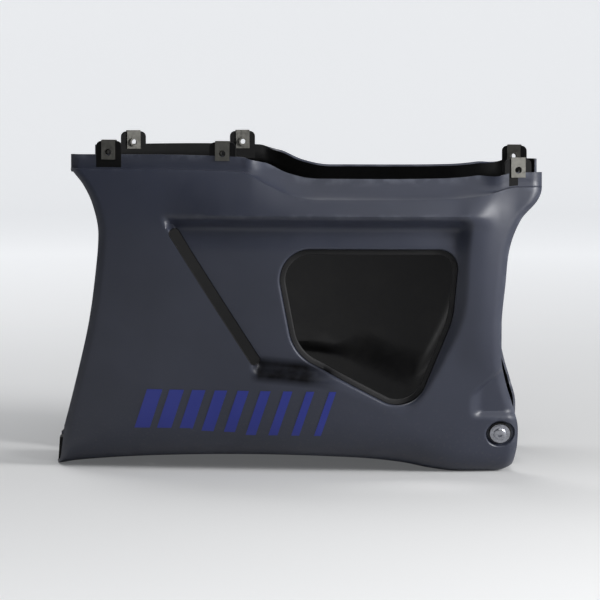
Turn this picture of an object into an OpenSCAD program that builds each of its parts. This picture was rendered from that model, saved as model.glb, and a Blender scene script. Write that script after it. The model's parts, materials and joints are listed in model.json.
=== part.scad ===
// Belly pan (lower cowling) of a sport motorcycle: two moulded halves that meet at the keel.
// X runs from the front wheel (-) to the rear (+), the left half is at -Y, and Z is up.
// The origin is under the middle of the pan, on the surface that its underside rests on.

/* [Outline] */
// Length from the front tip to the rear horn
pan_length = 440; // [420:5:460]
// Height of the seam with the upper cowling above the underside
pan_height = 272; // [260:2:284]
// Half width at the widest station, without the raised band
half_width = 190; // [180:1:200]
// Distance of the widest station ahead of the rear horn
widest_inset = 140; // [120:5:160]
// How much narrower each side is at the front tip
front_taper = 56; // [40:1:60]
// How much narrower each side is at the rear horn
rear_taper = 16; // [8:1:24]
// How far the side draws in from the shoulder to the ground line, at the rear
tuck = 62; // [54:1:66]
// How much less the side draws in at the front tip
tuck_relief = 12; // [4:1:16]
// How far the belly arches up between its two low points
belly_arch = 13; // [8:1:16]
// Distance from the front tip to the top of that arch
arch_front = 190; // [175:5:205]
// Distance of the arch's rear end ahead of the rear horn
arch_rear = 165; // [150:5:175]
// Distance of the foot's front end ahead of the rear horn
foot_front = 75; // [68:1:80]
// Distance of the foot's rear end ahead of the rear horn
foot_rear = 42; // [36:1:46]
// Drop of the top edge where the side vent opens
vent_dip = 25; // [15:1:30]

/* [Moulding] */
// Wall thickness of both halves
wall = 2.5; // [2:0.1:3]
// Height of the turn from the side to the floor
turn_h = 38; // [30:1:42]
// Width of the inward roll along the front and rear edges
roll_w = 8; // [6:1:10]
// Depth of that roll
roll_depth = 5; // [3:0.5:6]
// Height of the stepped flange that slips behind the upper cowling
seam_flange_h = 13; // [10:1:16]
// Step of that flange behind the outer skin
seam_step = 4.5; // [4:0.5:6]
// Reach of the vent lip inwards from the top edge
vent_lip = 20; // [16:1:24]
// Rise of the vent lip above the top edge
vent_rise = 18; // [14:1:20]

/* [Side form] */
// Drop of the crease line below the seam
crease_drop = 39; // [37:1:43]
// Height of the undercut face below the crease
step_h = 13; // [11:1:14]
// How far the band above the crease stands out
band_out = 7; // [4:0.5:9]
// Depth of the recess behind the slot
recess_depth = 9; // [6:0.5:10]
// How much deeper the recess is right under the crease
undercut = 3.5; // [1:0.5:5]
// Width of the bevel between the window and the rear pillar
pillar_bevel = 14; // [10:1:16]
// How far the rear pillar stands out
pillar_out = 4; // [2:0.5:6]
// Depth of the relief below the pillar
relief_depth = 6; // [4:0.5:8]

/* [Slot] */
// Width of the slanted air slot
slot_w = 8; // [6:0.5:9]
// X of the slot's upper end
slot_top_x = -105; // [-110:1:-100]
// Height of the slot's upper end
slot_top_z = 216; // [212:1:217]
// X of the slot's lower end
slot_low_x = -34; // [-38:1:-30]
// Height of the slot's lower end
slot_low_z = 103; // [100:1:106]

/* [Window] */
// Thickness of the flange round the window
flange_t = 2.5; // [2:0.1:3]
// Depth of that flange behind the outer skin
flange_depth = 13; // [10:1:15]
// How far the edge seal reaches into the window
seal_lip = 5; // [3:0.5:6]
// Thickness of the seal's two cheeks
seal_t = 2; // [1.5:0.1:2.5]
// Depth of the groove that grips the flange
seal_grip = 6; // [4:0.5:7]

/* [Keel] */
// Height of the flat seam roof above the ground line
keel_z = 20; // [18:1:22]
// Half width of the flat seam roof
keel_half = 30; // [28:1:32]
// Width of the slope from the roof down to the floor
keel_slope = 12; // [9:1:13]
// Overlap of each half past the centre
keel_lap = 16; // [14:1:18]
// Gap between the two laps
lap_gap = 0.2; // [0.1:0.05:0.3]
// Distance of the front push rivet behind the front tip
rivet_front = 70; // [60:5:90]
// Distance of the rear push rivet ahead of the rear horn
rivet_rear = 110; // [100:5:130]
// Diameter of a push rivet's shank
rivet_d = 8; // [7:0.5:9]
// Diameter of a push rivet's head
rivet_head_d = 18; // [16:0.5:20]
// Thickness of a push rivet's head
rivet_head_t = 2; // [1.5:0.1:2.5]

/* [Floor] */
// Distance of the first rib behind the front tip
rib_inset = 66; // [55:1:70]
// Distance between the ribs
rib_pitch = 36; // [30:1:40]
// Height of the ribs above the inner skin
rib_h = 8; // [5:0.5:10]
// Thickness of the ribs
rib_t = 2; // [1.5:0.1:3]
// Diameter of the drain holes
drain_d = 6; // [5:0.5:8]
// Distance of the rear drain hole ahead of the rear horn
drain_inset = 70; // [60:1:80]

/* [Rear mount] */
// Distance of the mount ahead of the rear horn
mount_inset = 36; // [34:1:38]
// Height of the mount
mount_z = 36; // [35:1:37]
// Tilt of the mount's axis, which looks outwards and down
mount_tilt = 20; // [18:1:22]
// Diameter of the dimple round the bolt
dimple_d = 25; // [23:0.5:26]
// Depth of the dimple's floor below the skin
dimple_depth = 4; // [3:0.5:5]
// Thickness of the pad that holds the grommet
pad_t = 3.2; // [3:0.1:4]
// Diameter of the hole in the pad
pad_hole_d = 14; // [13:0.5:15]
// Thickness of each grommet flange
grommet_t = 2; // [1.5:0.1:2.5]
// Diameter of the grommet's flanges
grommet_d = 20; // [19:0.5:21]
// Outer diameter of the collar's tube
collar_d = 9.5; // [9:0.1:10]
// Thickness of the collar's shoulder
collar_t = 1.2; // [1:0.1:1.5]
// Nominal diameter of the bolt's threaded end
bolt_d = 6; // [5:0.5:6]
// Length of the bolt's threaded end
bolt_length = 15; // [12:1:20]
// Diameter of the bolt's plain shoulder, which fills the collar
shoulder_d = 7; // [6.5:0.1:7.2]
// Diameter of the bolt's head
bolt_head_d = 16; // [14:0.5:18]

/* [Seam tabs] */
// Width of a seam tab
tab_w = 24; // [22:1:26]
// Height of a seam tab above the top edge under it
tab_h = 25; // [24:1:26]
// Radius of a tab's corners
tab_r = 5; // [4:0.5:7]
// Nominal diameter of the screw that a clip nut takes
screw_d = 5; // [4:0.5:5]
// Sheet thickness of a clip nut
clip_t = 1; // [0.8:0.1:1.2]
// Width of a clip nut
clip_w = 13; // [12:0.5:14]
// Distance from a tab's top edge to its hole
clip_reach = 10; // [9:0.5:11]

/* [Heat mats and film] */
// Thickness of a heat mat
mat_t = 3; // [2:0.5:4]
// Gap between the wall and the mat, for its glue
glue_gap = 0.3; // [0.2:0.05:0.4]
// Thickness of the printed film
film_t = 0.4; // [0.3:0.05:0.6]
// Height of the film's bars
film_h = 41; // [35:1:43]
// Height of the bars' lower ends
film_z = 34; // [32:1:36]
// X of the first bar's lower end
film_x = -146; // [-150:1:-140]
// Number of slanted bars in the film
film_bars = 9; // [7:1:9]
// Distance between neighbouring bars
film_pitch = 20.5; // [18:0.5:21]
// Width of the widest bar, nearest the front
film_bar_w = 14; // [10:1:16]

/* [Hidden] */
$fn = 48;

paint = [0.20, 0.215, 0.255];
rubber = [0.06, 0.06, 0.065];
steel = [0.72, 0.73, 0.75];
plastic = [0.10, 0.10, 0.11];
film_blue = [0.16, 0.20, 0.55];
foil = [0.62, 0.63, 0.64];

front_x = -pan_length / 2;
rear_x = pan_length / 2;
widest_x = rear_x - widest_inset;
shoulder_z = pan_height - 47;
crease_z = pan_height - crease_drop;

// Clearance between pieces that touch, and how deep fused shapes reach into each other
fit = 0.1;
bite = 0.6;

// Smooth ramp from 0 to 1 while t goes from 0 to 1
function ramp(t) = let (c = max(0, min(1, t))) c * c * (3 - 2 * c);

// Slope of the curve through knots k at knot i, level where the knots turn back
function slope_at(k, i) =
    let (a = max(0, i - 1), b = min(len(k) - 1, i + 1))
    a < i && i < b && (k[i][1] - k[a][1]) * (k[b][1] - k[i][1]) <= 0 ? 0
    : (k[b][1] - k[a][1]) / (k[b][0] - k[a][0]);

// Cubic curve through the knots k, read at t
function curve(k, t) =
    let (last = len(k) - 1,
         c = max(k[0][0], min(k[last][0], t)),
         i = min(last - 1, len([for (p = k) if (p[0] <= c) 1]) - 1),
         h = k[i + 1][0] - k[i][0],
         s = (c - k[i][0]) / h)
    (1 + 2 * s) * pow(1 - s, 2) * k[i][1] + s * pow(1 - s, 2) * h * slope_at(k, i)
    + s * s * (3 - 2 * s) * k[i + 1][1] + s * s * (s - 1) * h * slope_at(k, i + 1);

// Side view of the pan: its front, rear, top and bottom edges. The horns keep their size.
front_h = pan_height - 32;
front_knots = [[0, 0], [0.034 * front_h, 1], [0.167 * front_h, 11], [0.375 * front_h, 25],
               [0.563 * front_h, 36], [0.75 * front_h, 43], [0.896 * front_h, 46], [front_h, 41],
               [pan_height - 14, 32], [pan_height, 20]];
rear_h = crease_z - 28;
rear_knots = [[0, 30], [12, 23], [0.195 * rear_h, 20], [0.302 * rear_h, 25], [0.4 * rear_h, 31],
              [0.512 * rear_h, 35], [0.659 * rear_h, 35], [0.83 * rear_h, 32], [rear_h, 28],
              [crease_z - 3, 18], [pan_height - 26, 4], [pan_height - 14, 0], [pan_height, 0]];
top_knots = [[front_x, 0], [-38, -1], [-24, -0.4 * vent_dip], [-6, -0.8 * vent_dip], [22, -vent_dip],
             [rear_x - 85, -vent_dip + 0.5], [rear_x - 50, 4 - vent_dip], [rear_x - 22, 11 - vent_dip],
             [rear_x, 11 - vent_dip]];
heel = arch_rear - foot_front;
belly_knots = [[front_x, 0], [front_x + 20, 4], [front_x + 70, belly_arch - 4],
               [front_x + 0.68 * arch_front, belly_arch - 1], [front_x + arch_front, belly_arch],
               [rear_x - arch_rear, belly_arch - 2], [rear_x - foot_front - 0.55 * heel, belly_arch - 6],
               [rear_x - foot_front - 0.28 * heel, 2.5], [rear_x - foot_front, 0],
               [rear_x - foot_rear, 0], [rear_x - foot_rear + 14, 4], [rear_x - foot_rear + 24, 12]];

function front_edge(z) = front_x + curve(front_knots, z);
function rear_edge(z) = rear_x - curve(rear_knots, z);
function top_z(x) = pan_height + curve(top_knots, x);
function belly_z(x) = curve(belly_knots, x);

// Centre line of the slot, carried on to the crease and straight down from its lower end
slot_lean = (slot_low_x - slot_top_x) / (slot_top_z - slot_low_z);
function slot_x(z) = slot_low_x - (max(slot_low_z, min(crease_z, z)) - slot_low_z) * slot_lean;

// Line down the front of the rear pillar
pillar_knots = [[0.236 * crease_z, 108], [0.322 * crease_z, 121], [0.6 * crease_z, 152],
                [0.858 * crease_z, 158], [crease_z, 161]];
function pillar_x(z) = curve(pillar_knots, z);

// Lower edge of the recess, and the height over which it fades out there, longer under the window
recess_low_knots = [[-40, 88], [25, 82], [60, 66], [85, 55], [106, 50]];
function recess_fade(x) = 12 + 28 * ramp((x - 20) / 40);

// Half width of the outer skin without its raised and sunk forms
function plan_width(x) =
    half_width - (x < widest_x ? front_taper * pow((widest_x - x) / (widest_x - front_x), 1.9)
                               : rear_taper * pow((x - widest_x) / (rear_x - widest_x), 2));
function draw_in(x, z) =
    z < shoulder_z
    ? (tuck - tuck_relief * ramp(-x / -front_x)) * pow(1 - max(z, 0) / shoulder_z, 1.6)
    : 8 * pow((z - shoulder_z) / (pan_height - shoulder_z), 2);

// Raised band above the crease, which grows from the slot and dies out on the pillar
band_start = slot_x(crease_z) - 2;
function band(x, z) =
    band_out * ramp((x - band_start) / 60) * (1 - ramp((x - rear_x + 66) / 30))
    * (z > crease_z ? max(0, 1 - (z - crease_z) / (top_z(x) - crease_z))
                    : 1 - ramp((crease_z - z) / step_h));

// Recess that holds the window, deeper under the crease and towards its lower edge beside the slot
function recess(x, z) =
    let (low = curve(recess_low_knots, x),
         sink = (1 - ramp((z - low - 10) / 12)) * (1 - ramp((x - 5) / 30)),
         under = 1 - ramp((crease_z - step_h - z) / 20))
    (recess_depth * (1 + 0.2 * sink) + undercut * under)
    * ramp((crease_z - z) / step_h) * ramp((x - slot_x(z)) / slot_w + 0.5)
    * ramp((pillar_x(z) - x) / pillar_bevel) * ramp((z - low) / recess_fade(x));

// Soft ridge of the rear pillar
function pillar(x, z) =
    pillar_out * ramp(1 - abs(x - rear_x + 50) / 30) * ramp((z - 80) / 40)
    * ramp((pan_height + 4 - z) / 40);

// Relief between the pillar's slanted foot and the rear mount
function relief(x, z) =
    relief_depth * ramp((x - rear_x + 64) / 12) * ramp((76 + 0.875 * (x - rear_x + 60) - z) / 6)
    * ramp((z - mount_z - 14) / 8);

// Inward roll of an edge at distance d
function roll(d) = d < roll_w ? roll_depth * pow(1 - max(d, 0) / roll_w, 2) : 0;

// Half width of the finished outer skin at side-view point (x, z)
function side(x, z) =
    plan_width(x) - draw_in(x, z) + band(x, z) + pillar(x, z) - recess(x, z) - relief(x, z)
    - roll(x - front_edge(z)) - roll(rear_edge(z) - x);

// Stations along the pan follow these guide lines, so that edges and creases fall between facets
function guides(z) =
    let (f = front_edge(z), s = slot_x(z), p = pillar_x(z), r = rear_edge(z))
    [f, f + roll_w, s - slot_w / 2, s + slot_w / 2, p - pillar_bevel, p, r - roll_w, r];
function station_x(s, z) =
    let (g = guides(z), i = min(len(g) - 2, floor(s))) g[i] + (s - i) * (g[i + 1] - g[i]);
stations = concat([0, 0.4], [for (i = [0:7]) 1 + i / 8], [2], [for (i = [0:11]) 3 + i / 12],
                  [4, 4.5], [for (i = [0:4]) 5 + i / 5], [6, 6.6, 7]);

// Heights of the section's points between the crease and the turn
side_levels = concat([for (i = [0:3]) crease_z - i * step_h / 3],
                     [for (i = [1:11]) crease_z - step_h - pow(i / 11, 1.3) * (crease_z - step_h - 104)],
                     [98, 93, 87, 75, 61]);

// Turn height at x, lower at the rear so that the mount has a side to stand on
function turn_at(x) = turn_h - (turn_h - 20) * ramp((x - rear_x + 140) / 80);

// How far the top edge is a vent lip rather than a stepped flange, from 0 to 1
function vent(x) = ramp((x + 42) / 22) * (1 - ramp((x - rear_x + 58) / 24));

// Outer line of the section down to the turn, which starts at point turn_i, each point [x, half width, z]
function flange_points(x, rim) =
    let (v = vent(x), h = seam_flange_h)
    [for (p = [[seam_step, h, vent_lip, vent_rise], [seam_step, h / 2, 0.65 * vent_lip, 0.6 * vent_rise],
               [seam_step - 0.3, 1, 0.25 * vent_lip, 0.17 * vent_rise]])
        [rim[0], rim[1] - p[0] * (1 - v) - p[2] * v, rim[2] + p[1] * (1 - v) + p[3] * v]];

function side_points(s) =
    let (xt = station_x(s, pan_height - 14), zt = top_z(xt))
    [for (z = concat([for (i = [0:2]) zt - i * (zt - crease_z) / 3], side_levels))
        let (x = station_x(s, z)) [x, side(x, z), z]];

// Turn, floor and keel, from the side's last point inwards
function turn_points(s) =
    let (x0 = station_x(s, 4), zf = belly_z(x0), h = turn_at(x0), za = zf + h,
         xa = station_x(s, za), wa = side(xa, za), lean = (side(xa, za + 4) - wa) / 4,
         wb = wa - lean * h, wc = wb - 0.9 * h)
    [for (i = [0:5])
        let (t = i / 5)
        [xa + (x0 - xa) * t,
         wa * pow(1 - t, 2) + 2 * wb * t * (1 - t) + wc * t * t,
         za * pow(1 - t, 2) + 2 * zf * t * (1 - t) + zf * t * t]];

function keel_points(s, joggled) =
    let (x = station_x(s, 4), zf = belly_z(x), up = keel_z + wall + lap_gap)
    concat([[x, keel_half + keel_slope, zf], [x, keel_half, keel_z]],
           joggled ? [[x, keel_lap + 6, keel_z], [x, keel_lap + 2, up], [x, -keel_lap, up]]
                   : [[x, 0, keel_z], [x, -keel_lap, keel_z]]);

turn_i = 6 + len(side_levels);
function section(s, joggled = false) =
    let (sides = side_points(s))
    concat(flange_points(sides[0][0], sides[0]), sides, turn_points(s), keel_points(s, joggled));

// Unit normal into the pan of the line from a to b, in the section's own plane
function normal(a, b) =
    let (d = [b[1] - a[1], b[2] - a[2]], l = norm(d)) [d[1] / l, -d[0] / l];

// The section moved into the pan by d, mitred at its corners
function inset(line, d) =
    [for (i = [0:len(line) - 1])
        let (a = line[max(0, i - 1)], p = line[i], b = line[min(len(line) - 1, i + 1)],
             n1 = i == 0 ? normal(p, b) : normal(a, p),
             n2 = i == len(line) - 1 ? n1 : normal(p, b),
             m = (n1 + n2) / (1 + n1 * n2))
        [p[0], p[1] + d * m[0], p[2] + d * m[1]]];

function reversed(v) = [for (i = [len(v) - 1:-1:0]) v[i]];
function slice(v, a, b) = [for (i = [a:b]) v[i]];

// Solid through closed rings of equally many points, each ring an outer line and its inner line back
module loft(rings) {
    n = len(rings[0]);
    half = n / 2;
    last = len(rings) - 1;
    walls = [for (i = [0:last - 1], j = [0:n - 1])
        let (a = i * n + j, b = i * n + (j + 1) % n) each [[a, b + n, b], [a, a + n, b + n]]];
    caps = [for (j = [0:half - 2])
        let (k = n - 1 - j, e = last * n)
        each [[j, j + 1, k], [j + 1, k - 1, k], [e + j, e + k, e + j + 1], [e + j + 1, e + k, e + k - 1]]];
    points = [for (r = rings, p = r) [p[0], -p[1], p[2]]];
    polyhedron(points, concat(walls, caps));
}

// The skin between two depths below the outer surface
module skin(from, to, joggled = false) {
    loft([for (s = stations)
        let (line = section(s, joggled)) concat(inset(line, from), reversed(inset(line, to)))]);
}

// Side outline of the window: corner points with their rounding radii, at shares of its top's height
window_top_z = crease_z - 30;
window_corners = [[-17, window_top_z, 28], [148, window_top_z, 17], [142, 0.69 * window_top_z, 80],
                  [106, 0.256 * window_top_z, 27], [0, 0.532 * window_top_z, 40]];

function unit(v) = v / norm(v);

// Rounded polygon: an arc of n steps at each corner [x, z, radius], each point with its outward normal
function rounded(corners, n) =
    let (m = len(corners))
    [for (i = [0:m - 1])
        let (p = corners[i], a = unit([for (k = [0:1]) corners[(i + m - 1) % m][k] - p[k]]),
             b = unit([for (k = [0:1]) corners[(i + 1) % m][k] - p[k]]),
             half_angle = acos(a * b) / 2,
             centre = [p[0], p[1]] + unit(a + b) * p[2] / sin(half_angle),
             start = atan2(-unit(a + b)[1], -unit(a + b)[0]) + (90 - half_angle))
        for (j = [0:n])
            let (t = start - j * (180 - 2 * half_angle) / n, d = [cos(t), sin(t)])
            [centre + p[2] * d, d]];

// The same line with points at most a step apart, so that a ring on it follows the curved side
function spread(line, step) =
    [for (i = [0:len(line) - 1])
        let (a = line[i], b = line[(i + 1) % len(line)], n = ceil(norm(b[0] - a[0]) / step))
        for (j = [0:n - 1]) [a[0] + (b[0] - a[0]) * j / n, a[1]]];

window_line = spread(rounded(window_corners, 6), 24);

// The hole in the wall stops inside the flange, so that the flange lines the whole opening
module window_prism() {
    corners = [for (c = window_corners) c + [0, 0, flange_t / 3]];
    translate([0, -half_width / 2, 0]) rotate([90, 0, 0])
        linear_extrude(half_width) polygon([for (p = rounded(corners, 8)) p[0] + p[1] * flange_t * 0.4]);
}

// Ring that follows the window: its section is a list of [offset outwards, depth below the skin]
module window_ring(profile) {
    n = len(profile);
    m = len(window_line);
    points = [for (q = window_line)
        let (skin_w = side(q[0][0], q[0][1]))
        for (c = profile) [q[0][0] + c[0] * q[1][0], -(skin_w - c[1]), q[0][1] + c[0] * q[1][1]]];
    faces = [for (i = [0:m - 1], j = [0:n - 1])
        let (a = i * n + j, b = i * n + (j + 1) % n,
             c = (i + 1) % m * n + (j + 1) % n, d = (i + 1) % m * n + j)
        each [[a, c, b], [a, d, c]]];
    polyhedron(points, faces);
}

module window_flange() {
    window_ring([[0, 0.3], [0, flange_depth], [flange_t, flange_depth], [flange_t, 0.3]]);
}

module window_seal() {
    inner = -seal_lip;
    outer = flange_t + fit + seal_t;
    groove = flange_depth - seal_grip;
    end = flange_depth + fit + seal_t;
    color(rubber)
        window_ring([[inner, groove], [inner, end], [outer, end], [outer, groove],
                     [flange_t + fit, groove], [flange_t + fit, flange_depth + fit],
                     [-fit, flange_depth + fit], [-fit, groove]]);
}

module slot_prism() {
    translate([0, -half_width / 2, 0]) rotate([90, 0, 0])
        linear_extrude(half_width) hull() {
            translate([slot_top_x, slot_top_z]) circle(d = slot_w, $fn = 24);
            translate([slot_low_x, slot_low_z]) circle(d = slot_w, $fn = 24);
        }
}

// Seam tabs stand on the flange at these places along the seam
tab_xs = [front_x + 55, -62, rear_x - 21];
function tab_top(i) = top_z(tab_xs[i]) + tab_h;
function tab_w_at(i) = side(tab_xs[i], top_z(tab_xs[i])) - seam_step;

// Places its children on tab i: Z points out of the pan, Y is up and 0 is the middle of the hole
function tab_turn(i) =
    atan((tab_w_at(i) - side(tab_xs[i] - 8, top_z(tab_xs[i] - 8)) + seam_step) / 8);
module at_tab(i) {
    translate([tab_xs[i], -tab_w_at(i), tab_top(i) - clip_reach])
        rotate([0, 0, -tab_turn(i)]) rotate([90, 0, 0]) children();
}

module seam_tab(i) {
    low = clip_reach - tab_h - 1;
    at_tab(i) translate([0, 0, -wall]) linear_extrude(wall)
        polygon([for (p = rounded([[-tab_w / 2, clip_reach, tab_r], [tab_w / 2, clip_reach, tab_r],
                                   [tab_w / 2, low, 1], [-tab_w / 2, low, 1]], 6)) p[0]]);
}

// Flat seats in the flange for the clip nut's two leaves, which leave a thinned wall between them
module clip_seat(i) {
    w = clip_w + 2;
    thin = 0.2;
    at_tab(i) for (z = [-thin, thin - wall - seam_step])
        translate([-w / 2, -w / 2, z]) cube([w, w + clip_reach, seam_step]);
}

module tab_hole(i) {
    at_tab(i) translate([0, 0, -wall - 1]) cylinder(d = screw_d + 3, h = wall + 2);
}

// Spring clip nut: a folded strip that grips the tab's edge, with a threaded barrel inside
module clip_nut(i) {
    front = fit;
    back = -wall - fit - clip_t;
    leaf = clip_reach + clip_w / 2;
    color(steel) at_tab(i) difference() {
        union() {
            translate([-clip_w / 2, -clip_w / 2, front]) cube([clip_w, leaf + fit, clip_t]);
            translate([-clip_w / 2, -clip_w / 2, back]) cube([clip_w, leaf + fit, clip_t]);
            translate([-clip_w / 2, clip_reach + fit, back]) cube([clip_w, clip_t, front + clip_t - back]);
            translate([0, 0, back - 3]) cylinder(d = screw_d + 3, h = 3 + bite);
        }
        translate([0, 0, back - 4]) cylinder(d = screw_d, h = 5 + clip_t / 2);
        translate([0, 0, front - 0.5]) cylinder(d = screw_d + 1, h = clip_t + 1);
    }
}

// Frame of the rear mount: Z points out of the pan along the bolt, 0 is the pad's outer face
mount_x = rear_x - mount_inset;
module at_mount() {
    translate([mount_x, -side(mount_x, mount_z) + dimple_depth * cos(mount_tilt),
               mount_z + dimple_depth * sin(mount_tilt)])
        rotate([90 + mount_tilt, 0, 0]) children();
}

module mount_pad() {
    at_mount() translate([0, 0, -pad_t]) cylinder(d = dimple_d + 2 * wall, h = pad_t);
}

// Room behind the pad for the grommet's inner flange
module grommet_seat() {
    at_mount() translate([0, 0, -pad_t - 2 * grommet_t])
        cylinder(d = grommet_d + 1, h = 2 * grommet_t + bite);
}

module mount_cut() {
    at_mount() {
        cylinder(d = dimple_d, h = 20);
        translate([0, 0, -pad_t - 1]) cylinder(d = pad_hole_d, h = pad_t + 2);
    }
}

module grommet() {
    groove = pad_t + 2 * fit;
    color(rubber) at_mount() difference() {
        translate([0, 0, -pad_t / 2]) rotate_extrude()
            polygon([[collar_d / 2 + fit, -groove / 2 - grommet_t], [grommet_d / 2, -groove / 2 - grommet_t],
                     [grommet_d / 2, -groove / 2], [pad_hole_d / 2 - fit, -groove / 2],
                     [pad_hole_d / 2 - fit, groove / 2], [grommet_d / 2, groove / 2],
                     [grommet_d / 2, groove / 2 + grommet_t], [collar_d / 2 + fit, groove / 2 + grommet_t]]);
    }
}

// Height of the collar's shoulder and length of its tube follow the grommet
shoulder_z0 = fit + grommet_t + fit;
tube_l = pad_t + 2 * grommet_t + 3 * fit;
module collar() {
    color(steel) at_mount() difference() {
        union() {
            translate([0, 0, shoulder_z0 - tube_l]) cylinder(d = collar_d, h = tube_l + bite);
            translate([0, 0, shoulder_z0]) cylinder(d = grommet_d - 2, h = collar_t);
        }
        translate([0, 0, shoulder_z0 - tube_l - 1])
            cylinder(d = shoulder_d + 2 * fit, h = tube_l + collar_t + 2);
    }
}

// Shoulder bolt with a low domed head and a hexagon socket, threaded past the collar's inner end
module bolt() {
    seat = shoulder_z0 + collar_t;
    thread_z = shoulder_z0 - tube_l - 0.5;
    head_h = bolt_d / 2;
    rim_h = 0.8;
    color(steel) at_mount() difference() {
        union() {
            translate([0, 0, thread_z - bolt_length]) cylinder(d = bolt_d, h = bolt_length + bite);
            translate([0, 0, thread_z]) cylinder(d = shoulder_d, h = seat - thread_z + bite);
            translate([0, 0, seat]) rotate_extrude()
                polygon(concat([[0, 0], [bolt_head_d / 2, 0], [bolt_head_d / 2, rim_h]],
                               [for (a = [0:15:90])
                                   [bolt_head_d * 0.36 * cos(a), rim_h + (head_h - rim_h) * sin(a)]]));
        }
        translate([0, 0, seat + rim_h]) cylinder(d = bolt_d * 0.77, h = head_h, $fn = 6);
    }
}

// Push rivet through both laps: a headed sleeve with splayed legs, and the pin that spreads them
lap_top = keel_z + 2 * wall + lap_gap;
rivet_xs = [front_x + rivet_front, (front_x + rivet_front + rear_x - rivet_rear) / 2, rear_x - rivet_rear];
module rivet_hole(i) {
    translate([rivet_xs[i], 0, keel_z - 1]) cylinder(d = rivet_d + 2 * fit, h = lap_top - keel_z + 2);
}

module push_rivet(i) {
    grip = lap_top + 2 * fit;
    color(plastic) translate([rivet_xs[i], 0, 0]) difference() {
        rotate_extrude() polygon([[rivet_d * 0.27, keel_z - fit - rivet_head_t],
                                  [rivet_head_d / 2 - 1, keel_z - fit - rivet_head_t],
                                  [rivet_head_d / 2, keel_z - fit - rivet_head_t / 2],
                                  [rivet_head_d / 2, keel_z - fit], [rivet_d / 2, keel_z - fit],
                                  [rivet_d / 2, grip], [rivet_d / 2 + 1.2, grip + 1.5],
                                  [rivet_d / 2 - 0.8, grip + 7], [rivet_d * 0.27, grip + 7]]);
        for (a = [0, 90]) rotate(a) translate([-rivet_d, -0.6, grip - 1]) cube([2 * rivet_d, 1.2, 9]);
        translate([0, 0, keel_z - fit - rivet_head_t - 1]) cylinder(d = rivet_d + 1, h = 2);
    }
}

module rivet_pin(i) {
    seat = keel_z - fit - rivet_head_t + 1;
    color(plastic) translate([rivet_xs[i], 0, 0]) {
        translate([0, 0, seat - 1.2]) cylinder(d = rivet_d + 0.8, h = 1.2);
        translate([0, 0, seat - 0.2]) cylinder(d = rivet_d * 0.5, h = lap_top + 5 - seat);
    }
}

// Strengthening ribs across the front of the floor, which follow the inner skin along the stations
rib_xs = [for (k = [0:2]) front_x + rib_inset + rib_pitch * k];
module floor_rib(x) {
    front = front_edge(4) + roll_w;
    span = slot_x(4) - slot_w / 2 - front;
    s = 1 + (x - front) / span;
    e = rib_t / span / 2;
    loft([for (t = [s - e, s + e])
        let (line = slice(section(t), turn_i, turn_i + 6))
        concat(inset(line, wall - bite), reversed(inset(line, wall + rib_h)))]);
}

module drain_hole(x) {
    translate([x, -keel_half - keel_slope - 10, -5]) cylinder(d = drain_d, h = 5 + keel_z);
}

// Free-form moulding of one half as one mesh, which resize keeps at its own size
module moulding(left) {
    resize([0, 0, 0]) union() {
        difference() {
            skin(0, wall, !left);
            if (left) window_prism();
            if (left) slot_prism();
            for (i = [0:2]) clip_seat(i);
            grommet_seat();
        }
        if (left) window_flange();
        for (x = rib_xs) floor_rib(x);
    }
}

// One half without its mirror: the left one has the slot and the window
module half(left) {
    color(paint) difference() {
        union() {
            moulding(left);
            for (i = [0:2]) seam_tab(i);
            mount_pad();
        }
        for (i = [0:2]) tab_hole(i);
        for (i = [0:2]) rivet_hole(i);
        for (x = [rib_xs[0] + rib_pitch / 2, rear_x - drain_inset]) drain_hole(x);
        mount_cut();
    }
}

// Foil-faced mat glued inside the turn of each half, behind the ribs
module heat_mat() {
    a = wall + glue_gap;
    color(foil) loft([for (s = slice(stations, 10, 24))
        let (line = slice(section(s), turn_i + 1, turn_i + 5))
        concat(inset(line, a), reversed(inset(line, a + mat_t)))]);
}

// Slanted bars of printed film that lie on the skin, narrower towards the rear
module film_bar(i) {
    w = film_bar_w * (1 - 0.07 * i);
    x0 = film_x + i * film_pitch;
    lean = 0.35;
    rings = [for (a = [0:2]) [for (b = [0:4])
        let (up = film_h * b / 4, z = film_z + up, x = x0 + lean * up + w * a / 2) [x, side(x, z), z]]];
    loft([for (r = reversed(rings)) concat([for (p = r) [p[0], p[1] + film_t, p[2]]], reversed(r))]);
}
module side_film() {
    color(film_blue) for (i = [0:film_bars - 1]) film_bar(i);
}

half(true);  // left_cowl
mirror([0, 1, 0]) half(false);  // right_cowl
window_seal();
side_film();
heat_mat();  // left_heat_mat
mirror([0, 1, 0]) heat_mat();  // right_heat_mat
bolt();  // left_bolt
mirror([0, 1, 0]) bolt();  // right_bolt
grommet();  // left_grommet
mirror([0, 1, 0]) grommet();  // right_grommet
collar();  // left_collar
mirror([0, 1, 0]) collar();  // right_collar
clip_nut(0);  // left_clip_nut_front
mirror([0, 1, 0]) clip_nut(0);  // right_clip_nut_front
clip_nut(1);  // left_clip_nut_middle
mirror([0, 1, 0]) clip_nut(1);  // right_clip_nut_middle
clip_nut(2);  // left_clip_nut_rear
mirror([0, 1, 0]) clip_nut(2);  // right_clip_nut_rear
push_rivet(0);  // keel_rivet_front
rivet_pin(0);  // keel_pin_front
push_rivet(1);  // keel_rivet_middle
rivet_pin(1);  // keel_pin_middle
push_rivet(2);  // keel_rivet_rear
rivet_pin(2);  // keel_pin_rear
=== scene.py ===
"""Looks of a sport motorcycle's belly pan: fine meshes of its free-form pieces, and every surface's finish.

Lengths are in millimetres until a mesh is made, which is in metres like the frame.
"""
import json
import math

import bmesh
import bpy
import numpy as np
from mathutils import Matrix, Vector, noise
from mathutils.geometry import delaunay_2d_cdt


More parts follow.
